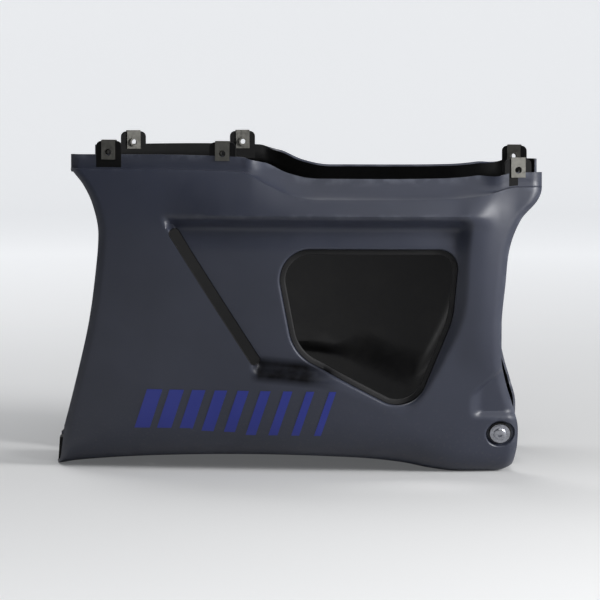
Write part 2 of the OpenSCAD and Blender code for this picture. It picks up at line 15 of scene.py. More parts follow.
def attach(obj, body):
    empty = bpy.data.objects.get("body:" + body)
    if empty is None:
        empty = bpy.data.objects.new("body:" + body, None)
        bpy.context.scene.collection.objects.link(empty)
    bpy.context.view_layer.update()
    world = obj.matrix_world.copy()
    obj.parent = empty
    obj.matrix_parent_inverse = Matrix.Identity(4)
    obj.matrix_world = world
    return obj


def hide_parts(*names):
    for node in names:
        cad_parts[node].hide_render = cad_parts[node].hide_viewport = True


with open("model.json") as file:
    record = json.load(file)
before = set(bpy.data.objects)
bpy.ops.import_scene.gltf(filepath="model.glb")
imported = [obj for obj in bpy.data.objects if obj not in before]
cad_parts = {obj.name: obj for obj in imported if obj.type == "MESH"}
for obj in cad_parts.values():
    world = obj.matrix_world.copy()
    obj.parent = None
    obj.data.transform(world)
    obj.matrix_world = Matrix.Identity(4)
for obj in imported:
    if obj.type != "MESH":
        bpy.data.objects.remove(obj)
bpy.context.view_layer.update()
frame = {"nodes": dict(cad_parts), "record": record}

# Driving dimensions, the same as those of the solids
PAN_LENGTH = 440
PAN_HEIGHT = 272
HALF_WIDTH = 190
FRONT_TAPER = 56
REAR_TAPER = 16
TUCK = 62
TUCK_RELIEF = 12
BELLY_ARCH = 13
ARCH_FRONT = 190
ARCH_REAR = 165
FOOT_FRONT = 75
FOOT_REAR = 42
VENT_DIP = 25
WALL = 2.5
TURN_H = 38
ROLL_W = 8
ROLL_DEPTH = 5
SEAM_FLANGE_H = 13
SEAM_STEP = 4.5
VENT_LIP = 20
VENT_RISE = 18
CREASE_Z = PAN_HEIGHT - 39
STEP_H = 13
BAND_OUT = 7
RECESS_DEPTH = 9
UNDERCUT = 3.5
PILLAR_BEVEL = 14
PILLAR_OUT = 4
RELIEF_DEPTH = 6
SLOT_W = 8
SLOT_TOP = (-105, 216)
SLOT_LOW = (-34, 103)
FLANGE_DEPTH = 13
FLANGE_T = 2.5
KEEL_Z = 20
KEEL_HALF = 30
KEEL_SLOPE = 12
KEEL_LAP = 16
LAP_GAP = 0.2
MOUNT_Z = 36
MOUNT_TILT = math.radians(20)
DIMPLE_R = 12.5
DIMPLE_DEPTH = 4
PAD_HOLE_R = 7
TAB_W = 24
TAB_H = 25
TAB_R = 5
TAB_HOLE_R = 4
CLIP_REACH = 10
RIB_INSET = 66
RIB_PITCH = 36
RIB_H = 8
RIB_T = 2
DRAIN_R = 3
DRAIN_INSET = 70
FILM_X = -146
FILM_Z = 34
FILM_H = 41
FILM_BARS = 9
FILM_PITCH = 20.5
FILM_BAR_W = 14
FILM_LEAN = 0.35
MAT_T = 3
FRONT_X = -PAN_LENGTH / 2
REAR_X = PAN_LENGTH / 2
WIDEST_X = REAR_X - 140
SHOULDER_Z = PAN_HEIGHT - 47
MOUNT_X = REAR_X - 36
SEAM_BEND_Z = PAN_HEIGHT - 14
TAB_XS = {"front": FRONT_X + 55, "middle": -62, "rear": REAR_X - 21}

# Where the scene's meshes are finer than the solids
CELL = 2.2
WELD = 0.02
WINDOW_FILLET = 2.2
SLOT_FILLET = 0.8
DIMPLE_FILLET = 0.8
DIMPLE_POINTS = 56
FLOOR_TURNS = 96


def ramp(t):
    """Smooth step from 0 to 1 while t goes from 0 to 1."""
    c = np.clip(t, 0, 1)
    return c * c * (3 - 2 * c)


def curve(knots, t):
    """Cubic curve through the knots, read at t, with level slopes where the knots turn back."""
    k = np.array(knots, dtype=float)
    x, y = k[:, 0], k[:, 1]
    step = np.diff(y)
    slopes = np.empty(len(x))
    slopes[0] = step[0] / (x[1] - x[0])
    slopes[-1] = step[-1] / (x[-1] - x[-2])
    slopes[1:-1] = np.where(step[:-1] * step[1:] <= 0, 0, (y[2:] - y[:-2]) / (x[2:] - x[:-2]))
    c = np.clip(t, x[0], x[-1])
    i = np.clip(np.searchsorted(x, c, side="right") - 1, 0, len(x) - 2)
    h = x[i + 1] - x[i]
    s = (c - x[i]) / h
    return ((1 + 2 * s) * (1 - s) ** 2 * y[i] + s * (1 - s) ** 2 * h * slopes[i]
            + s * s * (3 - 2 * s) * y[i + 1] + s * s * (s - 1) * h * slopes[i + 1])


FRONT_H = PAN_HEIGHT - 32
FRONT_KNOTS = [(0, 0), (0.034 * FRONT_H, 1), (0.167 * FRONT_H, 11), (0.375 * FRONT_H, 25),
               (0.563 * FRONT_H, 36), (0.75 * FRONT_H, 43), (0.896 * FRONT_H, 46), (FRONT_H, 41),
               (SEAM_BEND_Z, 32), (PAN_HEIGHT, 20)]
REAR_H = CREASE_Z - 28
REAR_KNOTS = [(0, 30), (12, 23), (0.195 * REAR_H, 20), (0.302 * REAR_H, 25), (0.4 * REAR_H, 31),
              (0.512 * REAR_H, 35), (0.659 * REAR_H, 35), (0.83 * REAR_H, 32), (REAR_H, 28),
              (CREASE_Z - 3, 18), (PAN_HEIGHT - 26, 4), (SEAM_BEND_Z, 0), (PAN_HEIGHT, 0)]
TOP_KNOTS = [(FRONT_X, 0), (-38, -1), (-24, -0.4 * VENT_DIP), (-6, -0.8 * VENT_DIP), (22, -VENT_DIP),
             (REAR_X - 85, -VENT_DIP + 0.5), (REAR_X - 50, 4 - VENT_DIP), (REAR_X - 22, 11 - VENT_DIP),
             (REAR_X, 11 - VENT_DIP)]
HEEL = ARCH_REAR - FOOT_FRONT
BELLY_KNOTS = [(FRONT_X, 0), (FRONT_X + 20, 4), (FRONT_X + 70, BELLY_ARCH - 4),
               (FRONT_X + 0.68 * ARCH_FRONT, BELLY_ARCH - 1), (FRONT_X + ARCH_FRONT, BELLY_ARCH),
               (REAR_X - ARCH_REAR, BELLY_ARCH - 2), (REAR_X - FOOT_FRONT - 0.55 * HEEL, BELLY_ARCH - 6),
               (REAR_X - FOOT_FRONT - 0.28 * HEEL, 2.5), (REAR_X - FOOT_FRONT, 0),
               (REAR_X - FOOT_REAR, 0), (REAR_X - FOOT_REAR + 14, 4), (REAR_X - FOOT_REAR + 24, 12)]
PILLAR_KNOTS = [(0.236 * CREASE_Z, 108), (0.322 * CREASE_Z, 121), (0.6 * CREASE_Z, 152),
                (0.858 * CREASE_Z, 158), (CREASE_Z, 161)]
RECESS_LOW_KNOTS = [(-40, 88), (25, 82), (60, 66), (85, 55), (106, 50)]
WINDOW_TOP_Z = CREASE_Z - 30
WINDOW_CORNERS = [(-17, WINDOW_TOP_Z, 28), (148, WINDOW_TOP_Z, 17), (142, 0.69 * WINDOW_TOP_Z, 80),
                  (106, 0.256 * WINDOW_TOP_Z, 27), (0, 0.532 * WINDOW_TOP_Z, 40)]


def front_edge(z):
    """X of the front edge at height z."""
    return FRONT_X + curve(FRONT_KNOTS, z)


def rear_edge(z):
    """X of the rear edge at height z."""
    return REAR_X - curve(REAR_KNOTS, z)


def top_z(x):
    """Height of the seam, with its dip for the vent."""
    return PAN_HEIGHT + curve(TOP_KNOTS, x)


def belly_z(x):
    """Height of the arched belly."""
    return curve(BELLY_KNOTS, x)


def slot_x(z):
    """X of the slot's middle line, which is the recess's front edge."""
    lean = (SLOT_LOW[0] - SLOT_TOP[0]) / (SLOT_TOP[1] - SLOT_LOW[1])
    return SLOT_LOW[0] - (np.clip(z, SLOT_LOW[1], CREASE_Z) - SLOT_LOW[1]) * lean


def pillar_x(z):
    """X of the recess's rear edge, along the pillar."""
    return curve(PILLAR_KNOTS, z)


def roll(d):
    """How far the skin rolls in at distance d from a free edge."""
    return np.where(d < ROLL_W, ROLL_DEPTH * (1 - np.maximum(d, 0) / ROLL_W) ** 2, 0)


def plain_side(x, z):
    """Half width of the outer skin at side-view point (x, z), before its front and rear edges roll in."""
    x, z = np.asarray(x, dtype=float), np.asarray(z, dtype=float)
    ahead = np.maximum(WIDEST_X - x, 0) / (WIDEST_X - FRONT_X)
    behind = np.maximum(x - WIDEST_X, 0) / (REAR_X - WIDEST_X)
    plan = HALF_WIDTH - FRONT_TAPER * ahead ** 1.9 - REAR_TAPER * behind ** 2
    low = (TUCK - TUCK_RELIEF * ramp(-x / -FRONT_X)) * np.maximum(1 - np.maximum(z, 0) / SHOULDER_Z, 0) ** 1.6
    high = 8 * (np.maximum(z - SHOULDER_Z, 0) / (PAN_HEIGHT - SHOULDER_Z)) ** 2
    rise = np.maximum(0, 1 - (z - CREASE_Z) / (top_z(x) - CREASE_Z))
    band = (BAND_OUT * ramp((x - slot_x(CREASE_Z) + 2) / 60) * (1 - ramp((x - REAR_X + 66) / 30))
            * np.where(z > CREASE_Z, rise, 1 - ramp((CREASE_Z - z) / STEP_H)))
    above = z - curve(RECESS_LOW_KNOTS, x)
    sink = (1 - ramp((above - 10) / 12)) * (1 - ramp((x - 5) / 30))
    recess = ((RECESS_DEPTH * (1 + 0.2 * sink) + UNDERCUT * (1 - ramp((CREASE_Z - STEP_H - z) / 20)))
              * ramp((CREASE_Z - z) / STEP_H) * ramp((x - slot_x(z)) / SLOT_W + 0.5)
              * ramp((pillar_x(z) - x) / PILLAR_BEVEL) * ramp(above / (12 + 28 * ramp((x - 20) / 40))))
    pillar = (PILLAR_OUT * ramp(1 - abs(x - REAR_X + 50) / 30) * ramp((z - 80) / 40)
              * ramp((PAN_HEIGHT + 4 - z) / 40))
    relief = (RELIEF_DEPTH * ramp((x - REAR_X + 64) / 12) * ramp((76 + 0.875 * (x - REAR_X + 60) - z) / 6)
              * ramp((z - MOUNT_Z - 14) / 8))
    return plan - low - high + band + pillar - recess - relief


def side(x, z):
    """Half width of the outer skin at side-view point (x, z): the same formula as the solids."""
    return plain_side(x, z) - roll(x - front_edge(z)) - roll(rear_edge(z) - x)


def turn_at(x):
    """Height of the turn from the side to the floor."""
    return TURN_H - (TURN_H - 20) * ramp((x - REAR_X + 140) / 80)


def vent(x):
    """Share of the vent's leaning lip in the seam."""
    return ramp((x + 42) / 22) * (1 - ramp((x - REAR_X + 58) / 24))


def along(u, z):
    """X at share u of the way from the front edge to the rear edge at height z."""
    return front_edge(z) + u * (rear_edge(z) - front_edge(z))


def share_at(x):
    """Share of the length at which the foot of the turn has this x."""
    return (x - float(along(0, 4))) / float(along(1, 4) - along(0, 4))


def skin_point(x, z, depth=0):
    """Points of the left half's outer skin, or below it."""
    return np.stack([x, -(side(x, z) - depth), z], axis=-1)


def turn_widths(x, z, h):
    """Half widths of the turn that starts at side-view point (x, z) and is h high: start, corner and foot."""
    start = side(x, z)
    corner = start - (plain_side(x, z + 4) - plain_side(x, z)) / 4 * h
    return start, corner, corner - 0.9 * h


def arc(start, corner, foot, t):
    """Point at share t of the curve that leaves its start towards the corner and ends at its foot."""
    return start * (1 - t) ** 2 + corner * 2 * t * (1 - t) + foot * t * t


def turn_rows(u, shares):
    """Rows of points from the side down round the turn, one a share, then where and how wide its foot is."""
    x_foot = along(u, 4)
    z_foot, h = belly_z(x_foot), turn_at(x_foot)
    x_start = along(u, z_foot + h)
    widths = turn_widths(x_start, z_foot + h, h)
    rows = [np.stack([x_start + (x_foot - x_start) * t, -arc(*widths, t), arc(z_foot + h, z_foot, z_foot, t)],
                     axis=-1) for t in shares]
    return rows, x_foot, z_foot, widths[2]


def rounded(corners, step):
    """Dense loop round a polygon with rounded corners: points and their outward normals, clockwise."""
    arcs = []
    count = len(corners)
    for i, (cx, cz, r) in enumerate(corners):
        p = np.array((cx, cz), dtype=float)
        a = np.array(corners[i - 1][:2]) - p
        b = np.array(corners[(i + 1) % count][:2]) - p
        a, b = a / np.linalg.norm(a), b / np.linalg.norm(b)
        half = math.acos(a @ b) / 2
        way = (a + b) / np.linalg.norm(a + b)
        centre = p + way * r / math.sin(half)
        start = math.atan2(-way[1], -way[0]) + math.pi / 2 - half
        n = max(3, int((math.pi - 2 * half) * r / step))
        turns = [start - j * (math.pi - 2 * half) / n for j in range(n + 1)]
        normals = np.array([(math.cos(t), math.sin(t)) for t in turns])
        arcs.append((centre + r * normals, normals))
    points, normals = [], []
    for i, (p, n) in enumerate(arcs):
        q = arcs[(i + 1) % count][0][0]
        points.append(p)
        normals.append(n)
        gap = np.linalg.norm(q - p[-1])
        m = int(gap / step)
        if m > 1:
            share = np.arange(1, m)[:, None] / m
            points.append(p[-1] + (q - p[-1]) * share)
            normals.append(np.repeat(n[-1:], m - 1, axis=0))
    return np.concatenate(points), np.concatenate(normals)


def stadium(a, b, r, step):
    """Dense loop round a straight slot from a to b, with its outward normals, clockwise."""
    a, b = np.array(a, dtype=float), np.array(b, dtype=float)
    way = (b - a) / np.linalg.norm(b - a)
    across = np.array((-way[1], way[0]))
    points, normals = [], []
    for end, start, sign in ((b, across, 1), (a, -across, -1)):
        for t in np.linspace(0, math.pi, 13):
            n = start * math.cos(t) + sign * way * math.sin(t)
            points.append(end + r * n)
            normals.append(n)
        m = int(np.linalg.norm(b - a) / step)
        other = a if end is b else b
        for j in range(1, m):
            points.append(end - start * r + (other - end) * j / m)
            normals.append(-start)
    return np.array(points), np.array(normals)


class Sheet:
    """A growing surface: points in millimetres and faces, with equal points shared at the end."""

    def __init__(self):
        self.points = []
        self.faces = []

    def add(self, rows):
        """Adds points and gives their indices."""
        start = len(self.points)
        self.points.extend(map(tuple, rows))
        return list(range(start, len(self.points)))

    def strip(self, a, b, closed=False):
        """Quads between two index rows of equal length."""
        n = len(a)
        for i in range(n if closed else n - 1):
            j = (i + 1) % n
            self.faces.append((a[i], a[j], b[j], b[i]))

    def extend(self, previous, rows, closed=False):
        """Adds a row of points and the quads that join it to the previous row."""
        current = self.add(rows)
        self.strip(previous, current, closed)
        return current

    def mesh(self, name):
        """The mesh in metres, with points closer than WELD joined."""
        data = bpy.data.meshes.new(name)
        data.from_pydata([(x / 1000, y / 1000, z / 1000) for x, y, z in self.points], [], self.faces)
        b = bmesh.new()
        b.from_mesh(data)
        bmesh.ops.remove_doubles(b, verts=b.verts, dist=WELD / 1000)
        bmesh.ops.recalc_face_normals(b, faces=b.faces)
        b.to_mesh(data)
        b.free()
        return data


def link(name, data):
    """A new object in the scene."""
    obj = bpy.data.objects.new(name, data)
    bpy.context.scene.collection.objects.link(obj)
    return obj


def inside(points, loop):
    """Which points lie inside a closed loop."""
    x, z = points[:, 0][:, None], points[:, 1][:, None]
    x1, z1 = loop[:, 0], loop[:, 1]
    x2, z2 = np.roll(x1, -1), np.roll(z1, -1)
    crosses = (z1 > z) != (z2 > z)
    at = x1 + (z - z1) * (x2 - x1) / np.where(z2 == z1, 1, z2 - z1)
    return (crosses & (x < at)).sum(axis=1) % 2 == 1


def filled(loops, points=()):
    """Flat triangles with these points and loops, inside the first loop and outside the others."""
    edges, start = [], 0
    for h in loops:
        edges += [(start + i, start + (i + 1) % len(h)) for i in range(len(h))]
        start += len(h)
    flat = np.concatenate(loops + ([points] if len(points) else []))
    verts, _, faces, *_ = delaunay_2d_cdt([Vector(p) for p in flat], edges, [], 0, 1e-5)
    flat, faces = np.array([tuple(v) for v in verts]), np.array(faces)
    middle = flat[faces].mean(axis=1)
    good = inside(middle, loops[0])
    for h in loops[1:]:
        good &= ~inside(middle, h)
    return flat, faces[good]


def nearest(points, loop):
    """Distance of each point from the nearest point of a loop."""
    best = np.full(len(points), 1e9)
    for p in loop:
        best = np.minimum(best, (points[:, 0] - p[0]) ** 2 + (points[:, 1] - p[1]) ** 2)
    return np.sqrt(best)


MOUNT_AXIS = np.array((0, -math.cos(MOUNT_TILT), -math.sin(MOUNT_TILT)))
MOUNT_ACROSS = np.array((0, -math.sin(MOUNT_TILT), math.cos(MOUNT_TILT)))
MOUNT_CENTRE = np.array((MOUNT_X, -float(side(MOUNT_X, MOUNT_Z)) + DIMPLE_DEPTH * math.cos(MOUNT_TILT),
                         MOUNT_Z + DIMPLE_DEPTH * math.sin(MOUNT_TILT)))


def mount_ring(radius, heights):
    """Ring of points round the rear mount's axis, at these heights along it."""
    t = np.linspace(0, 2 * math.pi, DIMPLE_POINTS, endpoint=False)
    ring = np.outer(np.cos(t), (1, 0, 0)) + np.outer(np.sin(t), MOUNT_ACROSS)
    return MOUNT_CENTRE + radius * ring + np.outer(np.broadcast_to(heights, len(t)), MOUNT_AXIS)


def mount_on_skin(radius):
    """Heights at which the ring of this radius meets the outer skin."""
    heights = np.full(DIMPLE_POINTS, float(DIMPLE_DEPTH))
    for _ in range(12):
        p = mount_ring(radius, heights)
        heights += (p[:, 1] + side(p[:, 0], p[:, 2])) / math.cos(MOUNT_TILT)
    return heights


def side_faces(sheet, u, bottom, top, holes):
    """Fine faces of the side, within the start of the turn, the rear edge, the seam and the front edge."""
    ends = []
    for edge, low, high in ((rear_edge, bottom[-1, 1], top[-1, 1]), (front_edge, bottom[0, 1], top[0, 1])):
        z = np.linspace(low, high, int((high - low) / CELL) + 1)[1:-1]
        ends.append(np.stack([edge(z), z], axis=-1))
    outline = np.concatenate([bottom, ends[0], top[::-1], ends[1][::-1]])

    z_rows = np.arange(CREASE_Z - CELL * int((CREASE_Z - bottom[:, 1].min()) / CELL), top[:, 1].max(), CELL)
    grid = np.array([(along(c, z), z) for z in z_rows for c in u[1:-1]])
    grid = grid[inside(grid, outline)]
    keep = nearest(grid, np.concatenate([bottom, top])) > CELL * 0.45
    for h in holes:
        keep &= ~inside(grid, h) & (nearest(grid, h) > CELL * 0.45)
    flat, faces = filled([outline] + holes, grid[keep])
    index = sheet.add(skin_point(flat[:, 0], flat[:, 1]))
    sheet.faces += [tuple(index[i] for i in f) for f in faces]


def floor_faces(sheet, left, previous, x, z, width):
    """The floor from the turn's foot to the keel, and the lap of one half over the other."""
    lap_up = KEEL_Z + WALL + LAP_GAP
    foot = KEEL_HALF + KEEL_SLOPE
    keel = [(foot + 1.5, None), (foot - 0.6, 0.6), (KEEL_HALF + 0.9, KEEL_Z - 0.7), (KEEL_HALF - 1, KEEL_Z)]
    keel += ([(0, KEEL_Z), (-KEEL_LAP, KEEL_Z)] if left else
             [(KEEL_LAP + 6, KEEL_Z), (KEEL_LAP + 2, lap_up), (-KEEL_LAP, lap_up)])
    for share in np.linspace(0, 1, 12)[1:-1]:
        w = width + (foot + 1.5 - width) * share
        previous = sheet.extend(previous, np.stack([x, -w, z], axis=-1))
    for w, up in keel:
        height = z if up is None else (z + up if up < 1 else np.full_like(z, up))
        previous = sheet.extend(previous, np.stack([x, np.full_like(x, -w), height], axis=-1))


def seam_faces(sheet, top):
    """The stepped flange of the seam, which turns into a leaning lip along the vent."""
    v = vent(top[:, 0])
    previous = sheet.add(skin_point(top[:, 0], top[:, 1]))
    rim = np.array(sheet.points[previous[0]:])
    seam = [(0.6, 0.05), (SEAM_STEP - 0.7, 0.5), (SEAM_STEP, 1.6), (SEAM_STEP, SEAM_FLANGE_H / 2),
            (SEAM_STEP, SEAM_FLANGE_H)]
    lip = [(0.06, 0.03), (0.25, 0.17), (0.45, 0.38), (0.65, 0.6), (1, 1)]
    for (a, b), (c, d) in zip(seam, lip):
        previous = sheet.extend(previous, np.stack([rim[:, 0], rim[:, 1] + a * (1 - v) + c * VENT_LIP * v,
                                                    rim[:, 2] + b * (1 - v) + d * VENT_RISE * v], axis=-1))


def outer_sheet(left):
    """The outer surface of one half, drawn on the left, with its holes lined inwards."""
    sheet = Sheet()
    u = np.linspace(0, 1, int(PAN_LENGTH / CELL) + 1)
    rows, x_foot, z_foot, foot_width = turn_rows(u, np.linspace(0, 1, 15))
    z_top = top_z(along(u, SEAM_BEND_Z))
    top = np.stack([along(u, z_top), z_top], axis=-1)
    window, window_n = rounded(WINDOW_CORNERS, CELL)
    slot, slot_n = stadium(SLOT_TOP, SLOT_LOW, SLOT_W / 2, CELL)
    mount_heights = mount_on_skin(DIMPLE_R + DIMPLE_FILLET)
    mount_rim = mount_ring(DIMPLE_R + DIMPLE_FILLET, mount_heights)
    holes = [mount_rim[:, [0, 2]]]
    if left:
        holes += [window + WINDOW_FILLET * window_n, slot + SLOT_FILLET * slot_n]
    side_faces(sheet, u, rows[0][:, [0, 2]], top, holes)

    previous = sheet.add(rows[0])
    for row in rows[1:]:
        previous = sheet.extend(previous, row)
    floor_faces(sheet, left, previous, x_foot, z_foot, foot_width)
    seam_faces(sheet, top)
    if left:
        line_hole(sheet, window, window_n, WINDOW_FILLET, FLANGE_DEPTH)
        line_hole(sheet, slot, slot_n, SLOT_FILLET, WALL)
    previous = sheet.add(mount_rim)
    for radius, heights in ((DIMPLE_R, mount_heights - DIMPLE_FILLET), (DIMPLE_R, 1), (DIMPLE_R - 0.8, 0),
                            (PAD_HOLE_R + 0.3, 0), (PAD_HOLE_R, -0.3), (PAD_HOLE_R, -0.9)):
        previous = sheet.extend(previous, mount_ring(radius, heights), closed=True)
    return sheet


def line_hole(sheet, loop, normals, fillet, depth):
    """Rolls the skin into a hole and lines the hole to this depth."""
    previous = sheet.add(skin_point(*(loop + fillet * normals).T))
    rows = [(fillet * (1 - math.sin(t)), fillet * (1 - math.cos(t))) for t in np.radians((22, 45, 67, 90))]
    rows += [(0, d) for d in np.linspace(fillet, depth, 4)[1:]]
    for offset, drop in rows:
        previous = sheet.extend(previous, skin_point(*(loop + offset * normals).T, drop), closed=True)


def mirrored(data):
    """The same mesh on the right."""
    b = bmesh.new()
    b.from_mesh(data)
    for v in b.verts:
        v.co.y = -v.co.y
    bmesh.ops.reverse_faces(b, faces=b.faces)
    b.to_mesh(data)
    b.free()


def face_outwards(data):
    """Turns a single open skin so that its faces look out of the left side."""
    total = sum(p.normal.y * p.area for p in data.polygons)
    if total > 0:
        data.flip_normals()


def apply_modifiers(obj):
    """Bakes the modifiers into the mesh."""
    graph = bpy.context.evaluated_depsgraph_get()
    data = bpy.data.meshes.new_from_object(obj.evaluated_get(graph))
    obj.modifiers.clear()
    obj.data = data


def smooth(obj, degrees):
    """Smooth shading that stays sharp at edges steeper than this."""
    for p in obj.data.polygons:
        p.use_smooth = True
    obj.data.set_sharp_from_angle(angle=math.radians(degrees))


def thicken(data):
    """Gives an open skin its wall, with an even thickness that stays moderate at sharp corners."""
    b = bmesh.new()
    b.from_mesh(data)
    b.normal_update()
    rim = [(e.verts[0], e.verts[1]) if e.link_loops[0].vert == e.verts[0] else (e.verts[1], e.verts[0])
           for e in b.edges if e.is_boundary]
    inner = {v: b.verts.new(v.co - v.normal * WALL / 1000 * min(1.3, v.calc_shell_factor()))
             for v in list(b.verts)}
    for v, w in inner.items():
        if v.co.z < 0.003:
            w.co.z = max(w.co.z, v.co.z + 0.5 * WALL / 1000)
    for f in list(b.faces):
        b.faces.new([inner[v] for v in reversed(f.verts)]).material_index = 1
    for p, q in rim:
        b.faces.new((q, p, inner[p], inner[q])).material_index = 0
    b.to_mesh(data)
    b.free()


def blacken_slot(data):
    """Gives the slot's edge and lining the black inner finish, as painted shade that makes the slot read as a
    dark gap.
    """
    a, b = np.array(SLOT_TOP), np.array(SLOT_LOW)
    for p in data.polygons:
        c = np.array((p.center.x, p.center.z)) * 1000
        share = np.clip((c - a) @ (b - a) / ((b - a) @ (b - a)), 0, 1)
        if p.center.y < 0 and np.linalg.norm(c - a - share * (b - a)) < SLOT_W / 2 + SLOT_FILLET - 0.05:
            p.material_index = 1


def cowl(name, left):
    """One half as a moulding with a true wall, an outer finish and an inner finish."""
    data = outer_sheet(left).mesh(name)
    face_outwards(data)
    if not left:
        mirrored(data)
    obj = link(name, data)
    obj.data.materials.append(MATERIALS["painted_abs"])
    obj.data.materials.append(MATERIALS["bare_abs"])
    thicken(obj.data)
    if left:
        # Painted shade: the slot's edge and lining are turned black.
        blacken_slot(obj.data)
    sign = 1 if left else -1
    for x in (FRONT_X + RIB_INSET + RIB_PITCH / 2, REAR_X - DRAIN_INSET):
        drill(obj, (x, -sign * (KEEL_HALF + KEEL_SLOPE + 10), 5), DRAIN_R, 40)
    apply_modifiers(obj)
    smooth(obj, 38)
    return obj


CUTTERS = []


def drill(obj, centre, radius, length):
    """Adds an upright round hole as a modifier."""
    data = bpy.data.meshes.new("drill")
    b = bmesh.new()
    bmesh.ops.create_cone(b, cap_ends=True, segments=24, radius1=radius / 1000, radius2=radius / 1000,
                          depth=length / 1000)
    bmesh.ops.translate(b, verts=b.verts, vec=Vector(centre) / 1000)
    b.to_mesh(data)
    b.free()
    cutter = link("drill", data)
    CUTTERS.append(cutter)
    m = obj.modifiers.new("drill", "BOOLEAN")
    m.operation = "DIFFERENCE"
    m.solver = "EXACT"
    m.object = cutter


def plate(name, outline, holes, low, high, place):
    """A flat plate with holes: place turns plate coordinates (a, b, height) into a point."""
    loops = [np.array(outline)] + [np.array(h) for h in holes]
    flat, faces = filled(loops)
    sheet = Sheet()
    for height, turn in ((high, 1), (low, -1)):
        index = sheet.add([place(a, b, height) for a, b in flat])
        sheet.faces += [tuple(index[i] for i in f[::turn]) for f in faces]
    for h in loops:
        sheet.strip(sheet.add([place(a, b, high) for a, b in h]), sheet.add([place(a, b, low) for a, b in h]),
                    closed=True)
    obj = link(name, sheet.mesh(name))
    obj.data.materials.append(MATERIALS["bare_abs"])
    bevel = obj.modifiers.new("edges", "BEVEL")
    bevel.width = 0.0004
    bevel.segments = 2
    bevel.limit_method = "ANGLE"
    bevel.angle_limit = math.radians(50)
    smooth(obj, 40)
    return obj


def circle(r, count=32):
    """Corners of a circle round the origin."""
    return [(r * math.cos(t), r * math.sin(t)) for t in np.linspace(0, 2 * math.pi, count, endpoint=False)]


def seam_tab(name, x, sign):
    """A tab with a round hole that stands on the seam's flange, turned to follow it."""
    w = float(side(x, top_z(x))) - SEAM_STEP
    turn = math.atan((w - float(side(x - 8, top_z(x - 8))) + SEAM_STEP) / 8)
    z = float(top_z(x)) + TAB_H - CLIP_REACH
    low = CLIP_REACH - TAB_H - 1
    outline, _ = rounded([(-TAB_W / 2, CLIP_REACH, TAB_R), (TAB_W / 2, CLIP_REACH, TAB_R),
                          (TAB_W / 2, low, 1), (-TAB_W / 2, low, 1)], 1.2)

    def place(a, b, height):
        px = x + a * math.cos(turn) - height * math.sin(turn)
        py = -w - a * math.sin(turn) - height * math.cos(turn)
        return px, sign * py, z + b
    return plate(name, outline, [circle(TAB_HOLE_R)], -WALL, 0, place)


def floor_rib(name, x, sign):
    """A low rib that follows the inner skin of the turn and floor, at one share of the length."""
    rows, *_ = turn_rows(np.array([share_at(x)]), np.linspace(0, 1, 25))
    line = np.array([r[0] for r in rows])
    line = np.concatenate([line, [(line[-1][0], -KEEL_HALF - KEEL_SLOPE, line[-1][2])]])
    way = np.gradient(line[:, 1:], axis=0)
    way /= np.linalg.norm(way, axis=1)[:, None]
    inwards = np.stack([np.zeros(len(line)), -way[:, 1], way[:, 0]], axis=-1)
    end = np.minimum(1, np.minimum(np.arange(len(line)), np.arange(len(line))[::-1]) / 4)
    foot = line + inwards * (WALL - 0.6)
    top = line + inwards * (WALL + RIB_H * ramp(end))[:, None]
    sheet = Sheet()
    shift = np.array((RIB_T / 2, 0, 0))
    rows = [sheet.add(p * (1, sign, 1)) for p in (foot - shift, top - shift, top + shift, foot + shift)]
    for a, b in zip(rows, rows[1:] + rows[:1]):
        sheet.strip(a, b)
    sheet.faces += [tuple(r[0] for r in rows), tuple(r[-1] for r in rows)]
    obj = link(name, sheet.mesh(name))
    obj.data.materials.append(MATERIALS["bare_abs"])
    smooth(obj, 40)
    return obj


def ring_sweep(name, profile):
    """A closed ring round the window from a section of (offset outwards, depth below the skin) points."""
    loop, normals = rounded(WINDOW_CORNERS, 1.6)
    sheet = Sheet()
    rows = []
    for offset, depth in profile:
        p = loop + offset * normals
        w = side(loop[:, 0], loop[:, 1]) - depth
        rows.append(sheet.add(np.stack([p[:, 0], -w, p[:, 1]], axis=-1)))
    for a, b in zip(rows, rows[1:] + rows[:1]):
        sheet.strip(a, b, closed=True)
    obj = link(name, sheet.mesh(name))
    smooth(obj, 50)
    return obj


def window_seal():
    """Edge trim with a rounded nose and two cheeks that grip the window's flange; its wide black lip also
    stands in for the shadowed gap round the window, as painted shade.
    """
    lip, cheek, grip, gap = 5.0, 2.0, 6.0, 0.1
    inner, outer = -lip, FLANGE_T + gap + cheek
    groove, end = FLANGE_DEPTH - grip, FLANGE_DEPTH + gap + cheek
    turns = np.radians((0, 30, 60, 90))
    nose = [(inner + 1.4 * (1 - math.cos(t)), groove + 1.4 * (1 - math.sin(t))) for t in turns[::-1]]
    heel = [(inner + 1.2 * (1 - math.sin(t)), end - 1.2 * (1 - math.cos(t))) for t in turns]
    back = [(outer - 1.2 * (1 - math.cos(t)), end - 1.2 * (1 - math.sin(t))) for t in turns[::-1]]
    profile = [(-gap, groove + 0.5), (-gap - 0.4, groove)] + nose + heel + back
    profile += [(outer, groove + 0.6), (outer - 0.6, groove), (FLANGE_T + gap, groove),
                (FLANGE_T + gap, FLANGE_DEPTH + gap), (-gap, FLANGE_DEPTH + gap)]
    obj = ring_sweep("window_edge_trim", profile)
    obj.data.materials.append(MATERIALS["rubber"])
    return obj


def low_side(x, z):
    """Half width of the outer skin on the side and on the turn below it."""
    foot, h = belly_z(x), turn_at(x)
    turn = arc(*turn_widths(x, foot + h, h), 1 - np.sqrt(np.clip((z - foot) / h, 0, 1)))
    return np.where(z < foot + h, turn, side(x, z))


